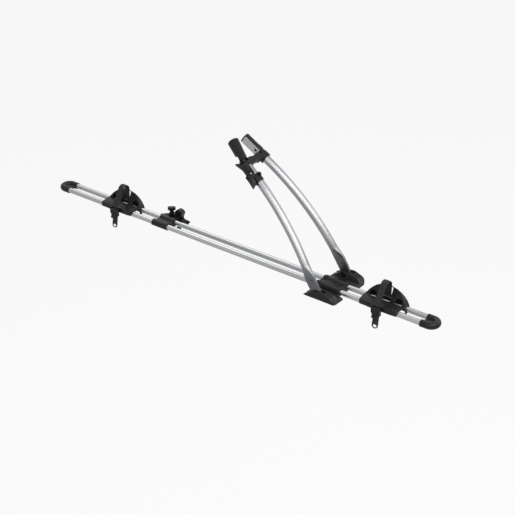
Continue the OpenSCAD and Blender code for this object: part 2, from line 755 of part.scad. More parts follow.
// Everything behind the leaning wall's face, moved back by a depth
module behind_wall(depth) {
    translate([0, lean_foot_y, floor_low]) rotate([-moon_lean, 0, 0])
        translate([-much / 2, depth, -much / 2]) cube([much, much, much]);
}
module window(w, h) {
    translate([-w / 2, 0]) square([w, h - w / 2]);
    translate([0, h - w / 2]) circle(d = w);
}
module wheel_tray(x) {
    tube_cut = tube_r + run_gap;
    color(black) tray_place(x) difference() {
        union() {
            difference() {
                intersection() {
                    xz_extrude(lean_foot_y - 2, rear_skin) moon(0);
                    behind_wall(0);
                    translate([-much / 2, -much / 2, -moon_low]) cube([much, much, much]);
                }
                intersection() {
                    xz_extrude(0, rear_skin - tray_wall) moon(tray_wall);
                    behind_wall(tray_wall + 0.5);
                }
            }
            translate([0, 0, floor_low]) linear_extrude(tray_wall)
                polygon([[-tray_near_half, -wall_in_y], [tray_near_half, -wall_in_y],
                    [tray_far_half - 4, -4], [tray_far_half - 3, lean_foot_y + 3],
                    [-tray_far_half + 3, lean_foot_y + 3], [-tray_far_half + 4, -4]]);
            translate([-tray_near_half, -wall_in_y, -skirt_low])
                cube([2 * tray_near_half, tray_wall, skirt_low + floor_low + tray_wall]);
            translate([-tray_near_half, -wall_in_y - 1, floor_low - 1])
                cube([2 * tray_near_half, tray_wall, tray_wall + 1]);
            for (sx = [-1, 1]) translate([sx * tray_screw_x, 0, clip_top])
                cylinder(d = tray_screw_d + 6, h = floor_low - clip_top + 1);
            for (sx = [-1, 1]) intersection() {
                translate([sx * (slot_w / 2 + 2.5) - 2, lean_foot_y, floor_low + 1])
                    cube([4, rear_skin - 1 - lean_foot_y, strap_pin_z + 6 - floor_low]);
                behind_wall(1);
            }
        }
        for (side = [near, far]) translate([0, side * half_pitch, 0])
            along_x(-much / 2, much / 2, tube_cut);
        translate([0, lean_foot_y, floor_low]) rotate([-moon_lean, 0, 0]) {
            for (sx = [-1, 1]) translate([sx * window_x, 0, -sill])
                xz_extrude(-5, tray_wall + 5) window(window_w, window_h + sill);
            translate([0, 0, -sill]) xz_extrude(-5, tray_wall + 5)
                polygon([[-slot_w / 2, 0], [slot_w / 2, 0], [slot_w / 2 - 2, moon_top + sill - 6],
                    [-slot_w / 2 + 2, moon_top + sill - 6]]);
        }
        for (cut = [[-window_x, window_w], [0, slot_w], [window_x, window_w]])
            translate([cut[0] - cut[1] / 2 - floor_ease, lean_foot_y - floor_cut, 0])
                cube([cut[1] + 2 * floor_ease, floor_cut + tray_wall + 2, floor_low + tray_wall + 1]);
        translate([-slot_w / 2, rear_skin - tray_wall - 2, strap_pin_z + 6])
            cube([slot_w, tray_wall + 4, moon_top / 4]);
        for (sx = [-1, 1]) translate([sx * tray_screw_x, 0, clip_top - 1])
            cylinder(d = tray_screw_d + 2 * fix_gap, h = floor_low - clip_top);
        translate([0, strap_pin_y, strap_pin_z])
            along_x(-slot_w / 2 - 6, slot_w / 2 + 6, strap_pin_d / 2 + fix_gap);
    }
}
module wheel_tray_clip(x) {
    low = 0.5 - rail_z;
    color(dark) tray_place(x) difference() {
        translate([-tray_clip_half, -half_pitch - 3, low])
            cube([2 * tray_clip_half, half_pitch + 3 + rear_skin - tray_wall - 0.3, clip_top - low]);
        for (side = [near, far]) translate([0, side * half_pitch, 0])
            along_x(-much / 2, much / 2, tube_r + run_gap);
        for (sx = [-1, 1]) translate([sx * tray_screw_x, 0, -rail_z]) {
            cylinder(d = tray_screw_d + 2 * fix_gap, h = rail_z);
            cylinder(d = tray_screw_d + 4.5, h = 2.2);
        }
    }
}
module wheel_tray_screws(x) {
    color(steel) tray_place(x) for (sx = [-1, 1]) translate([sx * tray_screw_x, 0, 0.6 - rail_z]) {
        cylinder(d = tray_screw_d, h = rail_z + floor_low - 4);
        cylinder(d = tray_screw_d + 3.5, h = 1.6);
    }
}
// Side view of the strap's middle line, from the tail's tip to the pin
lean_start = buckle_top + 1.5;
tail_top = buckle_low - 1.5;
tail_tip = [-strap_near_y - (tail_drop + tail_top) * tan(tail_lean), -tail_drop];
strap_path = concat([tail_tip, [-strap_near_y, tail_top], [-strap_near_y, lean_start]],
    [for (t = [180 - strap_lean : -strap_step : 1]) [arch_y + arch_r * cos(t), arch_z + arch_r * sin(t)]],
    [[strap_far_y, arch_z], [strap_far_y - 0.5, strap_pin_z + 24], [strap_pin_y + 1.4, strap_pin_z]]);
function way(a, b) = (b - a) / norm(b - a);
function across(d) = [-d[1], d[0]];
// A point of the band's edge: the two runs that meet there are moved aside by the same amount
function edge_point(line, i, aside) =
    let (n = len(line) - 1, d0 = way(line[max(i - 1, 0)], line[max(i, 1)]),
        d1 = way(line[min(i, n - 1)], line[min(i + 1, n)]), m = across(d0) + across(d1))
    line[i] + aside * m * 2 / (m * m);
function band(line, t) = let (n = len(line) - 1)
    concat([for (i = [0 : n]) edge_point(line, i, t / 2)],
        [for (i = [0 : n]) edge_point(line, n - i, -t / 2)]);
module strap(x) {
    tip_r = strap_w * 0.55;
    color(black) tray_place(x) difference() {
        union() {
            yz_extrude(-strap_w / 2, strap_w / 2) polygon(band(strap_path, strap_t));
            translate([0, strap_pin_y, strap_pin_z])
                along_x(-strap_w / 2 + 1, strap_w / 2 - 1, strap_pin_d / 2 + 3);
        }
        translate([0, tail_tip[0], tail_tip[1]]) rotate([90 - tail_lean, 0, 0]) translate([0, tip_r, 0]) {
            linear_extrude(4 * strap_t, center = true) difference() {
                translate([-strap_w, -2 * tip_r]) square([2 * strap_w, 2 * tip_r]);
                circle(r = tip_r);
            }
            translate([0, -tip_r / 3, 0]) linear_extrude(4 * strap_t, center = true)
                polygon([for (t = [0 : 10 : 350]) [hole_w / 2 * cos(t), hole_h / 2 * sin(t)]]);
        }
        translate([0, strap_pin_y, strap_pin_z])
            along_x(-much / 4, much / 4, strap_pin_d / 2 + fix_gap);
    }
}
module strap_pin(x) {
    color(steel) tray_place(x) translate([0, strap_pin_y, strap_pin_z])
        along_x(-slot_w / 2 - 4, slot_w / 2 + 4, strap_pin_d / 2);
}
module buckle(x) {
    inner = strap_w / 2 + run_gap;
    back = wall_in_y + 1;
    color(black) tray_place(x) difference() {
        translate([-buckle_w / 2, -buckle_out, buckle_low]) cube([buckle_w, buckle_out - back, buckle_h]);
        translate([-inner, -strap_near_y - strap_t / 2 - run_gap, -much / 2])
            cube([2 * inner, strap_t + 2 * run_gap, much]);
        translate([-inner, -buckle_out - 1, -much / 2])
            cube([2 * inner, buckle_out - strap_near_y, much]);
        translate([0, -buckle_pin_y, buckle_pin_z])
            along_x(-much / 8, much / 8, buckle_pin_d / 2 + fix_gap);
        translate([0, -buckle_out - 8, buckle_low - 4]) rotate([0, 90, 0])
            cylinder(r = 14, h = buckle_w + 2, center = true);
    }
}
module buckle_lever(x) {
    half = strap_w / 2 - 0.3;
    face = strap_near_y + strap_t / 2 + run_gap;
    color(black) tray_place(x) difference() {
        union() {
            yz_extrude(-half, half) polygon([[-face - 1, buckle_pin_z - 6],
                [-face - 6.5, buckle_pin_z - 6], [-face - 8, buckle_low - 2], [-face - 11, buckle_low - 7],
                [-face - 8.5, buckle_low - 8], [-face - 5, buckle_low - 3], [-face - 3, buckle_pin_z - 10]]);
            translate([0, -buckle_pin_y, buckle_pin_z]) along_x(-half, half, 3.5);
            translate([-half, -buckle_pin_y - 2.5, buckle_pin_z - 8]) cube([2 * half, 4, 8]);
        }
        translate([0, -buckle_pin_y, buckle_pin_z]) along_x(-much / 8, much / 8, buckle_pin_d / 2 + pin_gap);
    }
}
module buckle_pin(x) {
    color(steel) tray_place(x) translate([0, -buckle_pin_y, buckle_pin_z])
        along_x(-buckle_w / 2 + 0.3, buckle_w / 2 - 0.3, buckle_pin_d / 2);
}

// Front foot
module foot_place() {
    translate([-front_foot_x, 0, 0]) children();
}
module clip_outline() {
    both_tubes(-clip_len / 2, clip_len / 2, clip_r);
    translate([-clip_len / 2, -half_pitch, 0]) cube([clip_len, tube_pitch, rail_z + 5]);
    translate([-clip_len / 2, half_pitch, 0])
        cube([clip_len, clamp_y - hook_t / 2 - 1 - half_pitch, rail_z]);
}
module front_foot_clip() {
    color(black) foot_place() difference() {
        intersection() {
            clip_outline();
            translate([-much / 2, -much / 2, rail_z]) cube([much, much, much]);
        }
        both_tubes(-much / 2, much / 2, tube_r + run_gap);
        for (x = [-clip_screw_x, clip_screw_x]) translate([x, 0, 0]) {
            cylinder(d = tray_screw_d + 2 * fix_gap, h = much);
            translate([0, 0, rail_z + 3]) cylinder(d = tray_screw_d + 4, h = much);
        }
    }
}
module front_foot_plate() {
    wall_y = half_pitch + clip_r + fix_gap;
    color(black) foot_place() difference() {
        union() {
            intersection() {
                clip_outline();
                translate([-much / 2, -half_pitch - clip_r - 1, 0])
                    cube([much, half_pitch + clip_r + clamp_y, rail_z]);
            }
            translate([-hook_pin_x - 9, wall_y, 0])
                cube([2 * hook_pin_x + 18, clamp_y - hook_t / 2 - 1.5 - wall_y, rail_z + 2]);
        }
        both_tubes(-much / 2, much / 2, tube_r + run_gap);
        yz_extrude(-much / 4, much / 4) polygon([[-half_pitch - 1, -1],
            [-half_pitch - clip_r - 2, -1], [-half_pitch - clip_r - 2, rail_z - 3]]);
        for (x = [-clip_screw_x, clip_screw_x]) translate([x, 0, 1])
            cylinder(d = tray_screw_d + 2 * fix_gap, h = much);
        for (sx = [-1, 1]) translate([sx * hook_pin_x, hook_pin_y, hook_pin_z]) rotate([-90, 0, 0])
            cylinder(d = hook_pin_d + 2 * fix_gap, h = much);
    }
}
module front_foot_screws() {
    color(steel) foot_place() for (x = [-clip_screw_x, clip_screw_x]) translate([x, 0, 1.2]) {
        cylinder(d = tray_screw_d, h = rail_z + 1.9);
        translate([0, 0, rail_z + 1.8]) cylinder(d = tray_screw_d + 3, h = 2.5);
    }
}
// Drawn for the hook ahead of the bar; the other one is its mirror image
module hook_outline() {
    difference() {
        polygon([[-hook_pin_x - 34, hook_pin_z - 3], [-hook_pin_x - 10, hook_pin_z - 5],
            [-bar_w / 2 - 7, -bar_h - 7], [-bar_w / 2 + 10, -bar_h - 6], [-bar_w / 2 + 9, -bar_h - 1],
            [-bar_w / 2 - 3, -bar_h], [-hook_pin_x + 7, hook_pin_z - 4], [-hook_pin_x + 7, hook_pin_z + 4],
            [-hook_pin_x + 3, hook_pin_z + 8], [-hook_pin_x - 7, hook_pin_z + 8]]);
        translate([-hook_pin_x, hook_pin_z]) circle(d = hook_pin_d + 2 * pin_gap);
    }
}
module bar_hook(dir) {
    y0 = clamp_y - hook_t / 2;
    color(black) foot_place() mirror([dir > 0 ? 1 : 0, 0, 0])
        xz_extrude(y0, y0 + hook_t) hook_outline();
}
module hook_pins() {
    low = hook_pin_y + 0.2;
    color(steel) foot_place() for (sx = [-1, 1])
        translate([sx * hook_pin_x, low, hook_pin_z]) rotate([-90, 0, 0])
            cylinder(d = hook_pin_d, h = housing_y + housing_t + 0.5 - low);
}
module clamp_housing() {
    back_y = housing_y + housing_t;
    color(black) foot_place() difference() {
        union() {
            xz_extrude(housing_y, back_y) polygon([[-hook_pin_x - 8, 0], [hook_pin_x + 26, 0],
                [hook_pin_x + 35, 8], [hook_pin_x + 33, 11], [hook_pin_x + 12, 13], [hook_pin_x + 8, 18],
                [hook_pin_x + 8, 26], [-hook_pin_x - 2, 15],
                [-hook_pin_x - 8, 12]]);
            xz_extrude(clamp_y - hook_t / 2, back_y) difference() {
                polygon([[block_x, hook_pin_z + 14], [hook_pin_x + 9, hook_pin_z + 16],
                    [hook_pin_x + 15, housing_top - 8], [hook_pin_x + 8, housing_top - 2],
                    [block_x + 10, housing_top], [block_x + 5, housing_top - 3], [block_x, housing_top - 8]]);
                translate([block_x + 9, housing_top - 17]) circle(d = 8);
            }
            translate([knob_x, clamp_y, boss_z]) cylinder(d = 17, h = boss_h);
            translate([knob_x, clamp_y - 6, boss_z]) cube([24, 12, boss_h]);
            translate([knob_x - 8, clamp_y, boss_z]) cube([30, back_y - 0.5 - clamp_y, boss_h]);
            translate([knob_x - 7, housing_y + 0.5, 4]) cube([38, housing_t - 1, boss_z + boss_h - 5]);
        }
        translate([knob_x, clamp_y, 0]) cylinder(d = clamp_bolt_d + 2 * pin_gap, h = much / 4);
        for (sx = [-1, 1]) translate([sx * hook_pin_x, 0, hook_pin_z]) rotate([-90, 0, 0])
            cylinder(d = hook_pin_d + 2 * fix_gap, h = much / 4);
    }
}
module clamp_bolt() {
    low = boss_z - 8;
    color(steel) foot_place() translate([knob_x, clamp_y, low])
        cylinder(d = clamp_bolt_d, h = knob_base + knob_lift + bolt_grip - low);
}
module spreader_block() {
    color(steel) foot_place() translate([knob_x, clamp_y, boss_z - 5]) difference() {
        translate([-7, -5, 0]) cube([14, 10, 5]);
        translate([0, 0, -1]) cylinder(d = clamp_bolt_d + 2 * pin_gap, h = 8);
    }
}
module wing_knob() {
    color(black) foot_place() translate([knob_x, clamp_y, knob_base]) rotate([0, 0, knob_turn]) difference() {
        union() {
            cylinder(d = 13, h = knob_lift + 1);
            translate([0, 0, knob_lift - 6]) cylinder(r1 = 6.5, r2 = 9, h = 6.5);
            hull() for (sx = [-1, 1]) translate([sx * (knob_w / 2 - 7), 0, knob_lift])
                cylinder(r = 7, h = 9, $fn = 32);
        }
        translate([0, 0, -1])
            cylinder(d = clamp_bolt_d + 2 * fix_gap, h = knob_lift + bolt_grip + 1 + fix_gap);
    }
}

color(alloy) rail_tube(near);  // rail_tube_near
color(alloy) rail_tube(far);  // rail_tube_far
end_cap(rail_front, -1);  // front_end_cap
end_cap(rail_back, 1);  // rear_end_cap
foot_saddle();
foot_seat_plate();
foot_screws();
pivot_housing(near);  // near_pivot_housing
pivot_housing(far);  // far_pivot_housing
pivot_bolts();
pivot_nuts();
mirror([0, 1, 0]) arm(far);  // arm_near
arm(far);  // arm_far
arm_rivets();
far_jaw();
far_jaw_pad();
head_bridge();
bridge_screws();
jaw_pin();
near_jaw();
near_jaw_pad();
lever_collar();
clamp_lever();
lever_pin();
release_button();
wheel_tray(rear_tray_x);  // rear_tray
wheel_tray_clip(rear_tray_x);  // rear_tray_clip
wheel_tray_screws(rear_tray_x);  // rear_tray_screws
strap(rear_tray_x);  // rear_strap
strap_pin(rear_tray_x);  // rear_strap_pin
buckle(rear_tray_x);  // rear_buckle
buckle_lever(rear_tray_x);  // rear_buckle_lever
buckle_pin(rear_tray_x);  // rear_buckle_pin
wheel_tray(-front_tray_x);  // front_tray
wheel_tray_clip(-front_tray_x);  // front_tray_clip
wheel_tray_screws(-front_tray_x);  // front_tray_screws
strap(-front_tray_x);  // front_strap
strap_pin(-front_tray_x);  // front_strap_pin
buckle(-front_tray_x);  // front_buckle
buckle_lever(-front_tray_x);  // front_buckle_lever
buckle_pin(-front_tray_x);  // front_buckle_pin
front_foot_clip();
front_foot_plate();
front_foot_screws();
clamp_housing();
bar_hook(-1);  // hook_front
bar_hook(1);  // hook_rear
hook_pins();
clamp_bolt();
spreader_block();
wing_knob();
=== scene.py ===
"""Looks of a roof mounted bike carrier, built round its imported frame. Lengths are in metres."""
import json
import math

import bmesh
import bpy
from mathutils import Matrix, Vector


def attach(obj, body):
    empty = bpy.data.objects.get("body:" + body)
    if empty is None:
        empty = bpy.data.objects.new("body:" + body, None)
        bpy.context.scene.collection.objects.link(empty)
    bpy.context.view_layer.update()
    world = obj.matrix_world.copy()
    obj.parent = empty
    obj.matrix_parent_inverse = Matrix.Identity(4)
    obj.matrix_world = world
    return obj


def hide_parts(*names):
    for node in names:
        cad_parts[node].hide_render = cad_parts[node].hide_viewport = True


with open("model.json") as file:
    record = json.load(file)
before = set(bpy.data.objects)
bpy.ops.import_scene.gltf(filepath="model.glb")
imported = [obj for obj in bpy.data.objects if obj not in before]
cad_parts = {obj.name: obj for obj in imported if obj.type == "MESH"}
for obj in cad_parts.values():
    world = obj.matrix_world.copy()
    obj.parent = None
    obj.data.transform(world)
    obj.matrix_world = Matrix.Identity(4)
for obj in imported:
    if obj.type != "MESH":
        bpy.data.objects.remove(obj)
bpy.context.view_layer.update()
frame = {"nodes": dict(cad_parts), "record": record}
NODES = frame["nodes"]
SCENE = bpy.context.scene
BODY_OF = {n: b for b, ns in frame["record"]["behaviour"]["bodies"].items() for n in ns}
MM = 0.001

# Sizes shared with the part's source
NEAR, FAR = -1, 1
RAIL_Z = 12 * MM
PIVOT_Z = 22 * MM
ARM_AXIS_Y = 79 * MM
ARM_R = 12.5 * MM
FOOT_SLOPE = math.radians(57)
TOP_SLOPE = math.radians(33)
FOOT_RUN = 88 * MM
BEND_R = 830 * MM
ARM_TILT = math.radians(5.3)
BLADE_Y = 76 * MM
BLADE_W = 36 * MM
BLADE_T = 8 * MM
BLADE_RUN = 46 * MM
BLADE_END_R = 16 * MM
BLADE_FULL = 20 * MM
FAR_JAW_R = 16.2 * MM
FAR_REACH = 78 * MM
NEAR_REACH = 86 * MM
FACE_IN = 7.7 * MM
JAW_LIP = 2.5 * MM
JAW_PITCH = math.radians(4)
JAW_LEAN = math.radians(11.5)
FAR_LEAN = math.radians(2.5)
NEAR_AXIS = 8 * MM
HINGE_OUT = 10 * MM
HINGE_LIFT = 9.3 * MM
PAD_T = 4 * MM
PAD_LOW = 14 * MM
FAR_PAD_R = 14 * MM
NEAR_PAD_R = 13.5 * MM
PAD_DIP = 1 * MM
PAD_HOLE_UP = 11 * MM
PAD_HOLE_R = 5 * MM
TRAY_X = {"rear": 182 * MM, "front": -842 * MM}
STRAP_W = 20.5 * MM
STRAP_T = 3 * MM
STRAP_NEAR_Y = -36 * MM
STRAP_FAR_Y = 26 * MM
STRAP_LEAN = 32
LEAN_START = 14.5 * MM
ARCH_R = 16 * MM
ARCH_Y = STRAP_FAR_Y - ARCH_R
ARCH_Z = 58 * MM
TAIL_LEAN = math.radians(9)
TAIL_TOP = -18.5 * MM
TAIL_DROP = 60 * MM
STRAP_PIN = Vector((22.75 * MM, 16 * MM))
STRAP_PIN_R = 2.5 * MM


# Materials
def material(name, color, roughness, metallic=0.0):
    """A Principled material and its node tree, with the even values set on the shader's own sockets."""
    made = bpy.data.materials.new(name)
    made.use_nodes = True
    shader = made.node_tree.nodes["Principled BSDF"]
    shader.inputs["Base Color"].default_value = (*color, 1)
    shader.inputs["Roughness"].default_value = roughness
    shader.inputs["Metallic"].default_value = metallic
    return made, made.node_tree, shader


def noise(tree, scale, detail, stretch=(1, 1, 1)):
    """Noise over the piece's own coordinates, stretched along its axes."""
    place = tree.nodes.new("ShaderNodeTexCoord")
    mapping = tree.nodes.new("ShaderNodeMapping")
    mapping.inputs["Scale"].default_value = stretch
    texture = tree.nodes.new("ShaderNodeTexNoise")
    texture.inputs["Scale"].default_value = scale
    texture.inputs["Detail"].default_value = detail
    tree.links.new(place.outputs["Object"], mapping.inputs["Vector"])
    tree.links.new(mapping.outputs["Vector"], texture.inputs["Vector"])
    return texture.outputs["Fac"]


NOISE_LOW, NOISE_HIGH = 0.3, 0.7


def colors(tree, fac, low, high):
    """A colour between two, over the range in which most of the noise lies."""
    ramp = tree.nodes.new("ShaderNodeValToRGB")
    ramp.color_ramp.elements[0].position = NOISE_LOW
    ramp.color_ramp.elements[0].color = (*low, 1)
    ramp.color_ramp.elements[1].position = NOISE_HIGH
    ramp.color_ramp.elements[1].color = (*high, 1)
    tree.links.new(fac, ramp.inputs["Fac"])
    return ramp.outputs["Color"]


def levels(tree, fac, low, high):
    """A number between two, over the same range."""
    span = tree.nodes.new("ShaderNodeMapRange")
    span.inputs["From Min"].default_value = NOISE_LOW
    span.inputs["From Max"].default_value = NOISE_HIGH
    span.inputs["To Min"].default_value = low
    span.inputs["To Max"].default_value = high
    tree.links.new(fac, span.inputs["Value"])
    return span.outputs["Result"]


def bump(tree, shader, height, strength, distance):
    """Fine relief in the shading, from noise."""
    node = tree.nodes.new("ShaderNodeBump")
    node.inputs["Strength"].default_value = strength
    node.inputs["Distance"].default_value = distance
    tree.links.new(height, node.inputs["Height"])
    tree.links.new(node.outputs["Normal"], shader.inputs["Normal"])


PLASTIC_GLOSS, RUBBER_GLOSS = 0.18, 0.3
METAL = 1.0


def moulded(name, low, high, rough):
    """Moulded plastic: a fine grain, faint flow marks and scuffs in the gloss."""
    made, tree, shader = material(name, low, rough)
    shader.inputs["Specular IOR Level"].default_value = PLASTIC_GLOSS
    flow = noise(tree, scale=18, detail=4, stretch=(1, 1.6, 2.2))
    scuffs = noise(tree, scale=60, detail=5)
    grain = noise(tree, scale=1400, detail=2)
    tree.links.new(colors(tree, flow, low, high), shader.inputs["Base Color"])
    tree.links.new(levels(tree, scuffs, low=rough - 0.06, high=rough + 0.08), shader.inputs["Roughness"])
    bump(tree, shader, grain, strength=0.12, distance=0.1 * MM)
    return made


RAIL_DULL, RAIL_BRIGHT = (0.31, 0.316, 0.326), (0.41, 0.416, 0.426)
ARM_DULL, ARM_BRIGHT = (0.25, 0.256, 0.266), (0.29, 0.296, 0.306)
# Darker colours for the arms' pressed feet: painted shade, standing in for the dark reflections low on the
# arms
FOOT_PAINTED_SHADE_DULL, FOOT_PAINTED_SHADE_BRIGHT = (0.1, 0.103, 0.11), (0.13, 0.133, 0.14)
ALLOY_ROUGH = 0.3


def drawn_alloy(name):
    """Satin alloy tube along X with fine drawing lines and a few duller streaks."""
    made, tree, shader = material(name, RAIL_DULL, ALLOY_ROUGH, METAL)
    lines = noise(tree, scale=60, detail=3, stretch=(0.06, 14, 14))
    streaks = noise(tree, scale=9, detail=2, stretch=(0.25, 5, 5))
    tree.links.new(colors(tree, streaks, RAIL_DULL, RAIL_BRIGHT), shader.inputs["Base Color"])
    tree.links.new(levels(tree, lines, low=0.24, high=0.34), shader.inputs["Roughness"])
    bump(tree, shader, lines, strength=0.05, distance=0.04 * MM)
    return made


# Heights between which the painted shade on an arm's pressed foot and neck fades out into the tube's own
# colour
PAINTED_SHADE_TOP = 50 * MM
PAINTED_SHADE_FADE_TOP = 125 * MM


def satin_alloy(name):
    """Anodised alloy of the bent arms: an even satin skin with soft clouds, and painted shade that darkens
    the colour of the pressed feet and lower necks.
    """
    made, tree, shader = material(name, ARM_DULL, ALLOY_ROUGH, METAL)
    cloud = noise(tree, scale=22, detail=4)
    skin = noise(tree, scale=45, detail=3)
    clouds = colors(tree, cloud, ARM_DULL, ARM_BRIGHT)
    # Painted shade: below a height the arm's colour goes over to these darker colours, fading out up the
    # neck
    painted_shade = colors(tree, cloud, FOOT_PAINTED_SHADE_DULL, FOOT_PAINTED_SHADE_BRIGHT)
    place = tree.nodes.new("ShaderNodeTexCoord")
    height = tree.nodes.new("ShaderNodeSeparateXYZ")
    tree.links.new(place.outputs["Object"], height.inputs["Vector"])
    painted_shade_fade = tree.nodes.new("ShaderNodeMapRange")
    painted_shade_fade.interpolation_type = "SMOOTHSTEP"
    painted_shade_fade.inputs["From Min"].default_value = PAINTED_SHADE_TOP
    painted_shade_fade.inputs["From Max"].default_value = PAINTED_SHADE_FADE_TOP
    tree.links.new(height.outputs["Z"], painted_shade_fade.inputs["Value"])
    blend = tree.nodes.new("ShaderNodeMixRGB")
    tree.links.new(painted_shade_fade.outputs["Result"], blend.inputs["Fac"])
    tree.links.new(painted_shade, blend.inputs["Color1"])
    tree.links.new(clouds, blend.inputs["Color2"])
    tree.links.new(blend.outputs["Color"], shader.inputs["Base Color"])
    tree.links.new(levels(tree, skin, low=0.31, high=0.37), shader.inputs["Roughness"])
    return made


def plated_steel(name, dull, bright, rough):
    """Steel with a fine mottle in its colour and gloss."""
    made, tree, shader = material(name, dull, rough, METAL)
    mottle = noise(tree, scale=320, detail=3)
    tree.links.new(colors(tree, mottle, dull, bright), shader.inputs["Base Color"])
    tree.links.new(levels(tree, mottle, low=rough - 0.08, high=rough + 0.08), shader.inputs["Roughness"])
    return made


def soft_rubber(name, low, high, rough):
    """Matt rubber with a fine grain and soft clouds."""
    made, tree, shader = material(name, low, rough)
    shader.inputs["Specular IOR Level"].default_value = RUBBER_GLOSS
    cloud = noise(tree, scale=90, detail=4)
    grain = noise(tree, scale=2400, detail=2)
    tree.links.new(colors(tree, cloud, low, high), shader.inputs["Base Color"])
    tree.links.new(levels(tree, cloud, low=rough - 0.08, high=rough + 0.06), shader.inputs["Roughness"])
    bump(tree, shader, grain, strength=0.3, distance=0.1 * MM)
    return made


BLACK = moulded("moulded_black", (0.008, 0.0082, 0.009), (0.014, 0.0143, 0.0155), 0.34)
DARK = moulded("moulded_dark", (0.012, 0.0123, 0.0132), (0.019, 0.0193, 0.0205), 0.36)
RAIL_ALLOY = drawn_alloy("drawn_alloy_rail")
ARM_ALLOY = satin_alloy("satin_alloy_arm")
STEEL = plated_steel("plated_steel", (0.42, 0.42, 0.41), (0.55, 0.55, 0.54), 0.32)
BLACK_STEEL = plated_steel("blackened_steel", (0.035, 0.035, 0.036), (0.06, 0.06, 0.061), 0.38)
PAD_RUBBER = soft_rubber("pad_rubber", (0.48, 0.485, 0.49), (0.58, 0.585, 0.59), 0.7)
STRAP_RUBBER = soft_rubber("strap_rubber", (0.012, 0.012, 0.013), (0.02, 0.02, 0.021), 0.52)
BY_SLOT = {
    "black_plastic": BLACK, "dark_plastic": DARK, "silver_alloy": RAIL_ALLOY,
    "steel": STEEL, "grey_rubber": PAD_RUBBER, "black_rubber": STRAP_RUBBER,
}
SLOT_OF = {s["node"]: s["material_slot"] for s in frame["record"]["subparts"]}
BLACKENED = (
    "foot_screws", "pivot_bolts", "pivot_nuts", "bridge_screws", "jaw_pin", "front_foot_screws",
    "hook_pins", "rear_tray_screws", "front_tray_screws", "spreader_block",
)
FINISH = {name: BY_SLOT[slot] for name, slot in SLOT_OF.items()}
FINISH.update({name: BLACK_STEEL for name in BLACKENED})
FINISH.update({name: ARM_ALLOY for name in ("arm_near", "arm_far", "arm_rivets")})


def dress(piece, made):
    piece.data.materials.clear()
    piece.data.materials.append(made)


for node_name, node in NODES.items():
    dress(node, FINISH[node_name])


# Making pieces
def add_mesh(name, bm, made, body, smooth=40):
    """Turns a bmesh into a piece that rides on a body, smooth apart from edges sharper than an angle."""
    mesh = bpy.data.meshes.new(name)
    bmesh.ops.recalc_face_normals(bm, faces=bm.faces)
    bm.to_mesh(mesh)
    bm.free()
    mesh.shade_smooth()
    mesh.set_sharp_from_angle(angle=math.radians(smooth))
    piece = bpy.data.objects.new(name, mesh)
    SCENE.collection.objects.link(piece)
    mesh.materials.append(made)
    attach(piece, body)
    return piece


BEVEL_STEPS = 3
EASED_SHARP = 28
WELD = 2e-6
FLAT_WITHIN = math.radians(1)


def soften(piece, width, sharp):
    """Eases the edges that are sharper than an angle."""
    bevel = piece.modifiers.new("eased_edges", "BEVEL")
    bevel.width = width
    bevel.segments = BEVEL_STEPS
    bevel.limit_method = "ANGLE"
    bevel.angle_limit = math.radians(sharp)
    piece.modifiers.new("even_shading", "WEIGHTED_NORMAL").keep_sharp = True
    return bevel


def eased(node_name, width):
    """A copy of a moulding with its edges eased, in place of the plain solid."""
    bm = bmesh.new()
    bm.from_mesh(NODES[node_name].data)
    bmesh.ops.remove_doubles(bm, verts=bm.verts, dist=WELD)
    bmesh.ops.dissolve_limit(bm, angle_limit=FLAT_WITHIN, verts=bm.verts, edges=bm.edges)
    piece = add_mesh(node_name + "_moulding", bm, FINISH[node_name], BODY_OF[node_name])
    soften(piece, width, EASED_SHARP).miter_outer = "MITER_ARC"
    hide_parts(node_name)


# Width of the eased edges, in millimetres
EASED = {
    "foot_saddle": 1.2, "foot_seat_plate": 1.0, "near_pivot_housing": 1.2, "far_pivot_housing": 1.2,
    "far_jaw": 1.0, "head_bridge": 0.9, "near_jaw": 1.1, "lever_collar": 1.0, "clamp_lever": 1.0,
    "rear_tray": 0.8, "front_tray": 0.8, "rear_tray_clip": 0.7, "front_tray_clip": 0.7,
    "rear_buckle": 0.8, "front_buckle": 0.8, "rear_buckle_lever": 0.7, "front_buckle_lever": 0.7,
    "front_foot_clip": 1.0, "front_foot_plate": 0.8, "clamp_housing": 1.2, "hook_front": 1.0,
    "hook_rear": 1.0, "wing_knob": 1.2, "front_end_cap": 0.8, "rear_end_cap": 0.8,
    "release_button": 0.8, "arm_rivets": 0.7, "pivot_nuts": 0.5, "pivot_bolts": 0.6, "foot_screws": 0.5,
    "front_foot_screws": 0.4, "lever_pin": 0.5, "jaw_pin": 0.5, "hook_pins": 0.5, "clamp_bolt": 0.5,
    "spreader_block": 0.5,
}
for node_name, width in EASED.items():
    eased(node_name, width * MM)


# Places on the arms and jaws
def slope_along(a):
    return Vector((-math.cos(a), 0, math.sin(a)))


def slope_above(a):
    return Vector((math.sin(a), 0, math.cos(a)))


MID_SLOPE = (FOOT_SLOPE + TOP_SLOPE) / 2
BEND_MIDDLE = FOOT_RUN * slope_along(FOOT_SLOPE) - BEND_R * slope_above(FOOT_SLOPE)


def shift(x, y, z):
    return Matrix.Translation((x, y, z))


def arm_at(side, back):
    """Frame on an arm's axis: Z up the arm, X to its upper side, at a distance back from its end."""
    slope = TOP_SLOPE + back / BEND_R
    tilt = Matrix.Rotation(side * ARM_TILT, 4, slope_above(MID_SLOPE))
    plane = shift(0, side * ARM_AXIS_Y, PIVOT_Z) @ tilt
    point = BEND_MIDDLE + BEND_R * slope_above(slope)
    return plane @ Matrix.Translation(point) @ Matrix.Rotation(slope - math.pi / 2, 4, "Y")


def jaw_frame(side):
    return arm_at(side, 0) @ Matrix.Rotation(JAW_PITCH, 4, "Y")


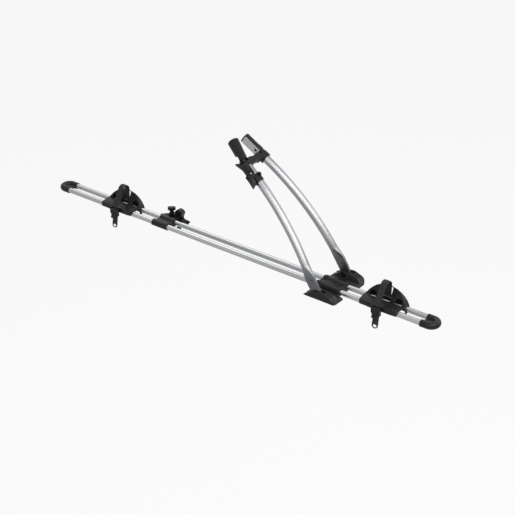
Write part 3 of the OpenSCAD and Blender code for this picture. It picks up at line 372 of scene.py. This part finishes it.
def lean_jaw():
    return jaw_frame(NEAR) @ shift(0, -HINGE_OUT, HINGE_LIFT) @ Matrix.Rotation(-JAW_LEAN, 4, "X")


def far_frame():
    return jaw_frame(FAR) @ Matrix.Rotation(math.pi, 4, "Z") @ Matrix.Rotation(-FAR_LEAN, 4, "X")


def blade_at(side, run):
    """Frame on an arm's flattened foot: Z up the arm, Y across its thickness, at a run from the pivot."""
    point = Vector((0, side * BLADE_Y, PIVOT_Z)) + run * slope_along(FOOT_SLOPE)
    return Matrix.Translation(point) @ Matrix.Rotation(FOOT_SLOPE - math.pi / 2, 4, "Y")


# Arms, drawn as rings that go from a flattened foot to a round tube
RING = 56
BEND_LEN = BEND_R * (FOOT_SLOPE - TOP_SLOPE)
BLADE_POWER = 7
END_STEPS, NECK_STEPS, TUBE_STEPS = 8, 14, 48
ARM_SMOOTH = 60
LEAST_SQUARE = 1e-8


def ring_points(half_u, half_v, power):
    """A closed ring between an oval (power 2) and a box with round corners (higher powers)."""
    points = []
    for i in range(RING):
        turn = 2 * math.pi * (i + 0.5) / RING
        c, s = math.cos(turn), math.sin(turn)
        points.append((math.copysign(half_u * abs(c) ** (2 / power), c),
                       math.copysign(half_v * abs(s) ** (2 / power), s)))
    return points


def blade_half(run):
    """Half the flattened foot's width at a run from the pivot."""
    if run < 0:
        return math.sqrt(max(BLADE_END_R ** 2 - run ** 2, LEAST_SQUARE))
    return BLADE_END_R + (BLADE_W / 2 - BLADE_END_R) * min(run / BLADE_FULL, 1)


def arm_rings(side):
    """Stations up an arm: a frame, two half sizes and a power for each ring."""
    rings = []
    for i in range(1, END_STEPS + 1):
        run = -BLADE_END_R * math.cos(math.pi / 2 * i / END_STEPS)
        rings.append((blade_at(side, run), blade_half(run), BLADE_T / 2, BLADE_POWER))
    for run in (BLADE_FULL / 2, BLADE_FULL, (BLADE_FULL + BLADE_RUN) / 2):
        rings.append((blade_at(side, run), blade_half(run), BLADE_T / 2, BLADE_POWER))
    foot, tube = blade_at(side, BLADE_RUN), arm_at(side, BEND_LEN)
    for i in range(NECK_STEPS + 1):
        part = i / NECK_STEPS
        ease = part * part * (3 - 2 * part)
        power = 2 + (BLADE_POWER - 2) * (1 - part) ** 2
        rings.append((foot.lerp(tube, part), BLADE_W / 2 + (ARM_R - BLADE_W / 2) * ease,
                      BLADE_T / 2 + (ARM_R - BLADE_T / 2) * ease, power))
    for i in range(1, TUBE_STEPS + 1):
        rings.append((arm_at(side, BEND_LEN * (1 - i / TUBE_STEPS)), ARM_R, ARM_R, 2))
    return rings


def make_arm(name, side):
    """Bent tube whose foot is pressed flat."""
    bm = bmesh.new()
    loops = []
    for place, half_u, half_v, power in arm_rings(side):
        ring = ring_points(half_u, half_v, power)
        loops.append([bm.verts.new(place @ Vector((u, v, 0))) for u, v in ring])
    for low, high in zip(loops, loops[1:]):
        for i in range(RING):
            j = (i + 1) % RING
            bm.faces.new((low[i], low[j], high[j], high[i]))
    bm.faces.new(loops[0][::-1])
    bm.faces.new(loops[-1])
    piece = add_mesh(name + "_tube", bm, ARM_ALLOY, BODY_OF[name], ARM_SMOOTH)
    piece.modifiers.new("even_shading", "WEIGHTED_NORMAL").keep_sharp = True
    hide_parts(name)


make_arm("arm_near", NEAR)
make_arm("arm_far", FAR)


# Moulded beads along edges, swept with a round section
BEAD_SIDES = 12
BEAD_END_SHARE = 0.4
BEAD_SMOOTH = 70


def bead(name, node_name, points, r):
    """A round rib along points, with tapered ends, on the body of the moulding that carries it."""
    bm = bmesh.new()
    last = len(points) - 1
    across = (points[1] - points[0]).orthogonal().normalized()
    rings = []
    for i, point in enumerate(points):
        way = (points[min(i + 1, last)] - points[max(i - 1, 0)]).normalized()
        across = (across - way * across.dot(way)).normalized()
        beside = way.cross(across)
        size = r * (BEAD_END_SHARE if i in (0, last) else 1)
        ring = []
        for k in range(BEAD_SIDES):
            turn = 2 * math.pi * k / BEAD_SIDES
            ring.append(bm.verts.new(point + size * (math.cos(turn) * across + math.sin(turn) * beside)))
        rings.append(ring)
    for a, b in zip(rings, rings[1:]):
        for k in range(BEAD_SIDES):
            j = (k + 1) % BEAD_SIDES
            bm.faces.new((a[k], a[j], b[j], b[k]))
    bm.faces.new(rings[0][::-1])
    bm.faces.new(rings[-1])
    piece = add_mesh(name, bm, FINISH[node_name], BODY_OF[node_name], BEAD_SMOOTH)


def steps_between(low, high, count):
    """Places from one end to the other in a number of even steps."""
    return [low + (high - low) * i / count for i in range(count + 1)]


# Side view of a pivot housing's ridge, in millimetres from the pivot's place on the rail
WING_PROFILE = [(-40, 9), (-20, 21), (-10, 28), (20, 32), (27, 31), (50, 22), (61, 13), (66, 7)]
WING_IN = 70 * MM
# Start, end and number of steps, here and in the other spans
WING_EDGE_SPAN = (-30, 60, 36)
WING_RIDGE_SPAN = (31, 62, 20)
WING_BEAD_R = 1.0 * MM


def wing_height(x):
    """Height of a pivot housing's ridge at a distance behind the pivot, in millimetres."""
    for (x0, z0), (x1, z1) in zip(WING_PROFILE, WING_PROFILE[1:]):
        if x <= x1:
            return z0 + (z1 - z0) * (x - x0) / (x1 - x0)
    return WING_PROFILE[-1][1]


def wing_beads():
    """A bead along each housing's inner edge and one down its ridge behind the arm's slot."""
    for name, side in (("near", NEAR), ("far", FAR)):
        inner = [Vector((x * MM, side * WING_IN, wing_height(x) * MM))
                 for x in steps_between(*WING_EDGE_SPAN)]
        bead(name + "_wing_edge", name + "_pivot_housing", inner, WING_BEAD_R)
        ridge = [Vector((x * MM, side * BLADE_Y, wing_height(x) * MM))
                 for x in steps_between(*WING_RIDGE_SPAN)]
        bead(name + "_wing_ridge", name + "_pivot_housing", ridge, WING_BEAD_R)


MOON_HALF = 72 * MM
MOON_RISE = 60.5 * MM
MOON_LOW = 10.5 * MM
MOON_LEAN = math.radians(28)
WALL_FOOT = (9.75 * MM, 9.1 * MM)
RIM_START = 1.5 * MM
RIM_IN = 1 * MM
RIM_R = 1.4 * MM
RIM_STEPS = 60


def moon_beads():
    """A rolled rim along each tray's half moon, where the leaning wall meets its edge."""
    start = math.asin((WALL_FOOT[1] + MOON_LOW + RIM_START) / MOON_RISE)
    for tray, x in TRAY_X.items():
        rim = []
        for turn in steps_between(start, math.pi - start, RIM_STEPS):
            z = MOON_RISE * math.sin(turn) - MOON_LOW
            y = WALL_FOOT[0] + (z - WALL_FOOT[1]) * math.tan(MOON_LEAN)
            along = x + (MOON_HALF - RIM_IN) * math.cos(turn)
            rim.append(Vector((along, y, RAIL_Z + z - RIM_IN * math.sin(turn))))
        bead(tray + "_tray_rim", tray + "_tray", rim, RIM_R)


FLOOR_TOP = RAIL_Z + 12.1 * MM
TRAY_RIB_Y = (-22 * MM, -31.6 * MM)
TRAY_RIB_SPAN = (16 * MM, 59 * MM, 12)
TRAY_RIB_R = 1.2 * MM


def tray_ribs():
    """Low ribs along each tray's floor, on both sides of its strap."""
    for tray, x in TRAY_X.items():
        number = 0
        for y in TRAY_RIB_Y:
            for way in (-1, 1):
                number += 1
                line = [Vector((x + way * d, y, FLOOR_TOP)) for d in steps_between(*TRAY_RIB_SPAN)]
                bead("%s_tray_rib_%d" % (tray, number), tray + "_tray", line, TRAY_RIB_R)


LEVER_R = 21.8 * MM
LEVER_FLARE = 7 * MM
LEVER_LEN = 54 * MM
FLARE_FROM = 28.4 * MM
LEVER_TURN = math.radians(2)
LEVER_BACK = 38 * MM
RIDGE_TURN = math.radians(-84)
RIDGE_SPAN = (9 * MM, 42 * MM, 14)
RIDGE_R = 1.0 * MM


def lever_frame(turn):
    """Frame on the near arm at the lever's pin, turned about the arm."""
    return arm_at(NEAR, LEVER_BACK) @ Matrix.Rotation(-turn, 4, "Z")


def lever_bead():
    """A ridge along the outside of the clamp lever."""
    points = []
    across = Vector((math.cos(RIDGE_TURN), math.sin(RIDGE_TURN), 0))
    for z in steps_between(*RIDGE_SPAN):
        r = LEVER_R + LEVER_FLARE * max(0, z - FLARE_FROM) / (LEVER_LEN - FLARE_FROM)
        points.append(lever_frame(LEVER_TURN) @ (r * across + Vector((0, 0, z))))
    bead("lever_ridge", "clamp_lever", points, RIDGE_R)


JAW_RIB_UP = (18 * MM, 26 * MM)
JAW_RIB_SINK = 0.5 * MM
JAW_RIB_SPAN = (math.radians(12), math.radians(80), 16)
JAW_RIB_R = 1.9 * MM


def jaw_beads():
    """Two low ribs across the far jaw's outer upper side."""
    r = FAR_JAW_R - JAW_RIB_SINK
    for number, z in enumerate(JAW_RIB_UP):
        points = [jaw_frame(FAR) @ Vector((r * math.cos(turn), r * math.sin(turn), z))
                  for turn in steps_between(*JAW_RIB_SPAN)]
        bead("far_jaw_rib_%d" % (number + 1), "far_jaw", points, JAW_RIB_R)


wing_beads()
moon_beads()
tray_ribs()
lever_bead()
jaw_beads()


# Sheets drawn flat, for the straps, the pads and the lever's sides
CUT_TOUCH, LINE_TOUCH, TOUCH = 1e-7, 1e-6, 1e-5
OVAL_STEPS = 32


def flat_sheet(outline, holes, thickness):
    """A flat sheet with holes in u and v, its thickness along w."""
    bm = bmesh.new()
    for ring in [outline, *holes]:
        verts = [bm.verts.new((u, v, 0)) for u, v in ring]
        for a, b in zip(verts, verts[1:] + verts[:1]):
            bm.edges.new((a, b))
    bmesh.ops.triangle_fill(bm, use_beauty=True, use_dissolve=False, edges=bm.edges[:])
    grown = bmesh.ops.extrude_face_region(bm, geom=bm.faces[:])["geom"]
    for v in grown:
        if isinstance(v, bmesh.types.BMVert):
            v.co.z += thickness
    return bm


def cut_across(bm, axis, stations):
    """Cuts a flat sheet along lines at places on an axis."""
    for place in stations:
        where, way = [0, 0, 0], [0, 0, 0]
        where[axis], way[axis] = place, 1
        bmesh.ops.bisect_plane(
            bm, geom=bm.verts[:] + bm.edges[:] + bm.faces[:], dist=CUT_TOUCH, plane_co=where, plane_no=way)


def spread(low, high, step):
    """Even places between two ends, about a step apart."""
    count = max(1, round((high - low) / step))
    return [low + (high - low) * i / count for i in range(1, count)]


def oval(u, v, half_u, half_v):
    turns = [2 * math.pi * i / OVAL_STEPS for i in range(OVAL_STEPS)]
    return [(u + half_u * math.cos(t), v + half_v * math.sin(t)) for t in turns]


# Straps
RIB_PITCH = 4 * MM
RIB_H = 0.8 * MM
RIB_FLAT = 0.8 * MM
RIB_FOOT = 1.3 * MM
RIB_INSET = 1.8 * MM
BARE_RUN = (38 * MM, 80 * MM)
CORNER_RUN = 4 * MM
CORNER_SHARE = 0.45
CORNER_PARTS = (0, 0.25, 0.5, 0.75, 1)
ARCH_STEP = 12
FIRST_RIB = 5
RIB_SIDE = 0.5 * MM
TIP_RATIO = 0.55
TIP_STEPS = 12
STRAP_HOLE = (4.5 * MM, 6.5 * MM)
STRAP_EASE, STRAP_SHARP = 0.4 * MM, 60
FAR_LEG_END = Vector((STRAP_FAR_Y - 0.5 * MM, STRAP_PIN.y + 24 * MM))
LOOP_START = STRAP_PIN + Vector((1.5, 4)) * MM
LOOP_IN_R = STRAP_PIN_R + 0.1 * MM
LOOP_OUT_R = STRAP_PIN_R + 3 * MM
LOOP_INSET = 1 * MM
LOOP_STEPS = 32


def rounded(line):
    """The line with each corner drawn as a short bend."""
    smooth = [line[0]]
    for before, corner, after in zip(line, line[1:], line[2:]):
        a = corner + (before - corner) * min(CORNER_SHARE, CORNER_RUN / (before - corner).length)
        b = corner + (after - corner) * min(CORNER_SHARE, CORNER_RUN / (after - corner).length)
        smooth += [a.lerp(corner, t).lerp(corner.lerp(b, t), t) for t in CORNER_PARTS]
    return smooth + [line[-1]]


def strap_line():
    """Side view of the strap's middle line in y and z, from the tail's tip to its loop round the pin."""
    tail = Vector((STRAP_NEAR_Y - (TAIL_DROP + TAIL_TOP) * math.tan(TAIL_LEAN), -TAIL_DROP))
    turns = [math.radians(t) for t in range(180 - STRAP_LEAN, -1, -ARCH_STEP)]
    arch = [Vector((ARCH_Y, ARCH_Z)) + ARCH_R * Vector((math.cos(t), math.sin(t))) for t in turns]
    return rounded([
        tail, Vector((STRAP_NEAR_Y, TAIL_TOP)), Vector((STRAP_NEAR_Y, LEAN_START)), *arch,
        FAR_LEG_END, LOOP_START])


class Bend:
    """Lays a flat strip along a line: u runs along it, out goes to its outer side."""

    def __init__(self, line):
        self.line = line
        self.runs = [0]
        for a, b in zip(line, line[1:]):
            self.runs.append(self.runs[-1] + (b - a).length)
        ways = [(b - a).normalized() for a, b in zip(line, line[1:])]
        ways = [ways[0], *[(a + b).normalized() for a, b in zip(ways, ways[1:])], ways[-1]]
        self.outs = [Vector((-w.y, w.x)) for w in ways]

    def at(self, u, out):
        i = max(k for k, run in enumerate(self.runs[:-1]) if run <= max(u, 0))
        part = (u - self.runs[i]) / (self.runs[i + 1] - self.runs[i])
        return self.line[i].lerp(self.line[i + 1], part) + out * self.outs[i].lerp(self.outs[i + 1], part)


def strap_mesh():
    """Ribbed strap with a round tail and a finger hole; it loops round its pin behind the tray."""
    bend = Bend(strap_line())
    length = bend.runs[-1]
    tip_r = STRAP_W * TIP_RATIO
    half = STRAP_W / 2
    lip = math.asin(half / tip_r)
    turns = [lip * (1 - i / TIP_STEPS) for i in range(2 * TIP_STEPS + 1)]
    tip = [(tip_r - tip_r * math.cos(t), -tip_r * math.sin(t)) for t in turns]
    bm = flat_sheet(tip[::-1] + [(length, -half), (length, half)],
                    [oval(tip_r * 2 / 3, 0, *STRAP_HOLE)], STRAP_T - RIB_H)
    ribs = [RIB_PITCH * k for k in range(FIRST_RIB, int((length - STRAP_PIN_R) / RIB_PITCH))]
    ribs = [u for u in ribs if not BARE_RUN[0] < u < BARE_RUN[1]]
    steps = [u + d for u in ribs for d in (-RIB_FOOT, -RIB_FLAT, RIB_FLAT, RIB_FOOT)]
    cut_across(bm, 0, sorted({round(u, 6) for u in steps + bend.runs[1:-1]}))
    edge = half - RIB_INSET
    cut_across(bm, 1, [-edge - RIB_SIDE, -edge, edge, edge + RIB_SIDE])
    for v in bm.verts:
        u, across, out = v.co
        raised = out > TOUCH and abs(across) < edge + LINE_TOUCH
        out -= STRAP_T / 2
        if raised and any(abs(u - rib) < RIB_FLAT + TOUCH for rib in ribs):
            out += RIB_H
        y, z = bend.at(u, out)
        v.co = (across, y, RAIL_Z + z)
    loop_half = half - LOOP_INSET
    corners = ((-1, LOOP_IN_R), (1, LOOP_IN_R), (1, LOOP_OUT_R), (-1, LOOP_OUT_R))
    rings = []
    for i in range(LOOP_STEPS):
        turn = 2 * math.pi * i / LOOP_STEPS
        rings.append([bm.verts.new((way * loop_half, STRAP_PIN.x + r * math.cos(turn),
                                    RAIL_Z + STRAP_PIN.y + r * math.sin(turn))) for way, r in corners])
    for a, b in zip(rings, rings[1:] + rings[:1]):
        for j in range(len(corners)):
            k = (j + 1) % len(corners)
            bm.faces.new((a[j], a[k], b[k], b[j]))
    return bm


def make_straps():
    """One strap for each tray, in place of its plain solid."""
    drawn = strap_mesh()
    for tray, x in TRAY_X.items():
        bm = drawn.copy()
        bm.transform(shift(x, 0, 0))
        piece = add_mesh(tray + "_strap_band", bm, STRAP_RUBBER, BODY_OF[tray + "_strap"])
        soften(piece, STRAP_EASE, STRAP_SHARP)
        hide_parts(tray + "_strap")
    drawn.free()


# Jaw pads
PAD_CORNER = 3 * MM
PAD_CORNER_STEPS = 6
PAD_END_GAP = 1 * MM
PAD_BACK_GAP = 0.05 * MM
PAD_STEP = 1.3 * MM
PAD_EASE, PAD_SHARP = 0.3 * MM, 60
FAR_PAD_LIP = 2.4 * MM
NEAR_PAD_LIP = -1.5 * MM
LIP_T = 0.75 * MM
PAD_PILLOW = 0.9 * MM
PAD_GROOVE = 0.25 * MM
GROOVE_PITCH = 8 * MM


def make_pad(name, place, r, end, lip):
    """Pad with a shallow hollow along it, pillowed edges, faint grooves and a hole near its lower end.
    A thin lip covers the jaw's lower edge, on the side that its sign gives."""
    length = end - JAW_LIP - PAD_END_GAP - PAD_LOW
    half = math.sqrt(r ** 2 - FACE_IN ** 2)
    thick = PAD_T - PAD_BACK_GAP
    half_back = math.sqrt(r ** 2 - (FACE_IN - thick) ** 2)
    right, left = half + max(lip, 0), half + max(-lip, 0)
    u_high, u_low = right - PAD_CORNER, PAD_CORNER - left
    v_high, v_low = length - PAD_CORNER, PAD_CORNER
    outline = []
    corners = ((u_high, v_high), (u_low, v_high), (u_low, v_low), (u_high, v_low))
    for number, (cu, cv) in enumerate(corners):
        for i in range(PAD_CORNER_STEPS + 1):
            turn = math.radians(90 * number + 90 / PAD_CORNER_STEPS * i)
            outline.append((cu + PAD_CORNER * math.cos(turn), cv + PAD_CORNER * math.sin(turn)))
    bm = flat_sheet(outline, [oval(0, PAD_HOLE_UP, PAD_HOLE_R, PAD_HOLE_R)], thick)
    cut_across(bm, 0, spread(-left, right, PAD_STEP) + [-half, half])
    cut_across(bm, 1, spread(0, length, PAD_STEP))
    for v in bm.verts:
        u, z, depth = v.co
        on_lip = abs(u) > half + LINE_TOUCH
        if depth > TOUCH:
            side = min(right - u, left + u, z, length - z)
            depth -= 0 if on_lip else PAD_DIP * (1 - (u / half) ** 2)
            depth -= PAD_PILLOW * max(0, 1 - side / (2 * PAD_CORNER)) ** 2 * (0.5 if on_lip else 1)
            depth -= PAD_GROOVE * (0.5 + 0.5 * math.cos(2 * math.pi * z / GROOVE_PITCH)) ** 4
        elif on_lip:
            depth = thick - LIP_T
        else:
            u *= half_back / half
        v.co = (u, FACE_IN - thick + depth, PAD_LOW + z)
    bm.transform(place)
    piece = add_mesh(name + "_cushion", bm, PAD_RUBBER, BODY_OF[name])
    soften(piece, PAD_EASE, PAD_SHARP)
    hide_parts(name)


# The lever's sides and the collar's nose
EAR_CLEAR = 12.9 * MM
SKIRT_IN_R = 17.4 * MM
SKIRT_OUT_R = 21.6 * MM
SKIRT_EDGE = math.radians(-33)
SKIRT_LOW, SKIRT_TOP = -4 * MM, 10 * MM
SKIRT_OUT_STEPS, SKIRT_IN_STEPS = 8, 5
SKIRT_EASE, SKIRT_SHARP = 0.9 * MM, 30


def arc(r, start, end, count):
    return [(r * math.cos(t), r * math.sin(t)) for t in steps_between(start, end, count)]


def lever_skirts():
    """The lever's sides, carried down past the collar's ears."""
    outer = arc(SKIRT_OUT_R, -math.acos(EAR_CLEAR / SKIRT_OUT_R), SKIRT_EDGE, SKIRT_OUT_STEPS)
    inner = arc(SKIRT_IN_R, SKIRT_EDGE, -math.acos(EAR_CLEAR / SKIRT_IN_R), SKIRT_IN_STEPS)
    for name, way in (("upper", 1), ("lower", -1)):
        bm = flat_sheet([(way * x, y) for x, y in outer + inner], [], SKIRT_TOP - SKIRT_LOW)
        bm.transform(lever_frame(LEVER_TURN) @ shift(0, 0, SKIRT_LOW))
        piece = add_mesh("lever_skirt_" + name, bm, FINISH["clamp_lever"], BODY_OF["clamp_lever"])
        soften(piece, SKIRT_EASE, SKIRT_SHARP)


HOOK_TURN = math.radians(25)
NOSE_EASE, NOSE_SHARP, NOSE_SMOOTH = 1.6 * MM, 20, 30
NOSE_FLAT_WITHIN = math.radians(2)
# Corners of the nose on one side, in millimetres
NOSE_TOP = ((12.4, -25.6, -6.3), (12.4, -13.6, -6.3))
NOSE_HOOK = ((10.5, -26, -22), (11.5, -13.4, -29), (7.2, -29, -36), (7.2, -25, -38.5))


def collar_nose():
    """The solid nose of the collar, from below the lever's ears to the tip of the finger hook."""
    bm = bmesh.new()
    for place, corners in ((lever_frame(LEVER_TURN), NOSE_TOP), (lever_frame(HOOK_TURN), NOSE_HOOK)):
        for x, y, z in corners:
            for way in (-1, 1):
                bm.verts.new(place @ Vector((way * x * MM, y * MM, z * MM)))
    bmesh.ops.convex_hull(bm, input=bm.verts[:])
    bmesh.ops.dissolve_limit(bm, angle_limit=NOSE_FLAT_WITHIN, verts=bm.verts[:], edges=bm.edges[:])
    piece = add_mesh("collar_nose", bm, FINISH["lever_collar"], BODY_OF["lever_collar"], NOSE_SMOOTH)
    soften(piece, NOSE_EASE, NOSE_SHARP)


lever_skirts()
collar_nose()
make_straps()
make_pad("far_jaw_pad", far_frame(), FAR_PAD_R, FAR_REACH, FAR_PAD_LIP)
NEAR_PAD_PLACE = lean_jaw() @ shift(0, NEAR_AXIS, 0)
make_pad("near_jaw_pad", NEAR_PAD_PLACE, NEAR_PAD_R, NEAR_REACH - HINGE_LIFT, NEAR_PAD_LIP)


# Camera, floor and light
VIEW_FROM = Vector((1.9682, -2.8929, 2.0399))
VIEW_TO = Vector((-0.2789, 0, 0.0108))
LENS, SENSOR = 95.17, 36
FAR_CLIP = 60
camera_data = bpy.data.cameras.new("photo_camera")
camera_data.lens = LENS
camera_data.sensor_width = SENSOR
camera_data.clip_end = FAR_CLIP
camera = bpy.data.objects.new("photo_camera", camera_data)
camera.location = VIEW_FROM
camera.rotation_euler = (VIEW_TO - VIEW_FROM).to_track_quat("-Z", "Y").to_euler()
SCENE.collection.objects.link(camera)
SCENE.camera = camera
SCENE.view_settings.view_transform = "Standard"

FLOOR_Z = -1.5
FLOOR_HALF = 14
FLOOR_PALE = (0.85, 0.85, 0.85)
FLOOR_ROUGH = 0.9
FLOOR_GLOW = 0.9
AMBIENT = 0.22
WHITE = (1, 1, 1, 1)
LAMPS_AIM = Vector((-0.35, 0, 0.1))


def viewer_rays(tree):
    """1 for camera, glossy and transmission rays, and 0 for the rest."""
    path = tree.nodes.new("ShaderNodeLightPath")
    found = path.outputs["Is Camera Ray"]
    for kind in ("Is Glossy Ray", "Is Transmission Ray"):
        either = tree.nodes.new("ShaderNodeMath")
        either.operation = "MAXIMUM"
        tree.links.new(found, either.inputs[0])
        tree.links.new(path.outputs[kind], either.inputs[1])
        found = either.outputs["Value"]
    return found


def white_to_viewer(tree, surface):
    """Nearly white for viewer rays, with a share of the lit surface and its shadow; plain for the rest."""
    mix = tree.nodes.new("ShaderNodeMixShader")
    glow = tree.nodes.new("ShaderNodeEmission")
    glow.inputs["Strength"].default_value = 1.0
    share = tree.nodes.new("ShaderNodeMath")
    share.operation = "MULTIPLY"
    share.inputs[1].default_value = FLOOR_GLOW
    tree.links.new(viewer_rays(tree), share.inputs[0])
    tree.links.new(share.outputs["Value"], mix.inputs["Fac"])
    tree.links.new(surface, mix.inputs[1])
    tree.links.new(glow.outputs["Emission"], mix.inputs[2])
    return mix.outputs["Shader"]


def make_floor():
    """A plain pale floor well below the carrier."""
    bm = bmesh.new()
    bmesh.ops.create_grid(bm, x_segments=1, y_segments=1, size=FLOOR_HALF)
    mesh = bpy.data.meshes.new("floor")
    bm.to_mesh(mesh)
    bm.free()
    floor = bpy.data.objects.new("floor", mesh)
    floor.location.z = FLOOR_Z
    SCENE.collection.objects.link(floor)
    made, tree, shader = material("pale_floor", FLOOR_PALE, FLOOR_ROUGH)
    output = tree.nodes["Material Output"]
    tree.links.new(white_to_viewer(tree, shader.outputs["BSDF"]), output.inputs["Surface"])
    mesh.materials.append(made)


def make_world():
    """White to the viewer, and a plain soft light to everything else."""
    world = bpy.data.worlds.new("studio")
    SCENE.world = world
    world.use_nodes = True
    tree = world.node_tree
    plain = tree.nodes["Background"]
    plain.inputs["Color"].default_value = WHITE
    plain.inputs["Strength"].default_value = AMBIENT
    shown = tree.nodes.new("ShaderNodeBackground")
    shown.inputs["Color"].default_value = WHITE
    shown.inputs["Strength"].default_value = 1.0
    mix = tree.nodes.new("ShaderNodeMixShader")
    tree.links.new(viewer_rays(tree), mix.inputs["Fac"])
    tree.links.new(plain.outputs["Background"], mix.inputs[1])
    tree.links.new(shown.outputs["Background"], mix.inputs[2])
    tree.links.new(mix.outputs["Shader"], tree.nodes["World Output"].inputs["Surface"])


def area_light(name, place, size, power):
    """A soft lamp that faces the carrier."""
    data = bpy.data.lights.new(name, "AREA")
    data.shape = "RECTANGLE"
    data.size, data.size_y = size
    data.energy = power
    lamp = bpy.data.objects.new(name, data)
    lamp.location = place
    lamp.rotation_euler = (LAMPS_AIM - Vector(place)).to_track_quat("-Z", "Y").to_euler()
    SCENE.collection.objects.link(lamp)


make_floor()
make_world()
area_light("key", place=(2.0, -0.6, 2.4), size=(2.4, 1.9), power=80)
area_light("fill", place=(0.9, -3.1, 1.7), size=(2.4, 1.6), power=34)
area_light("rim", place=(1.6, 2.5, 1.9), size=(2.4, 1.6), power=26)
area_light("front", place=(-2.1, 1.0, 2.4), size=(1.8, 1.6), power=24)
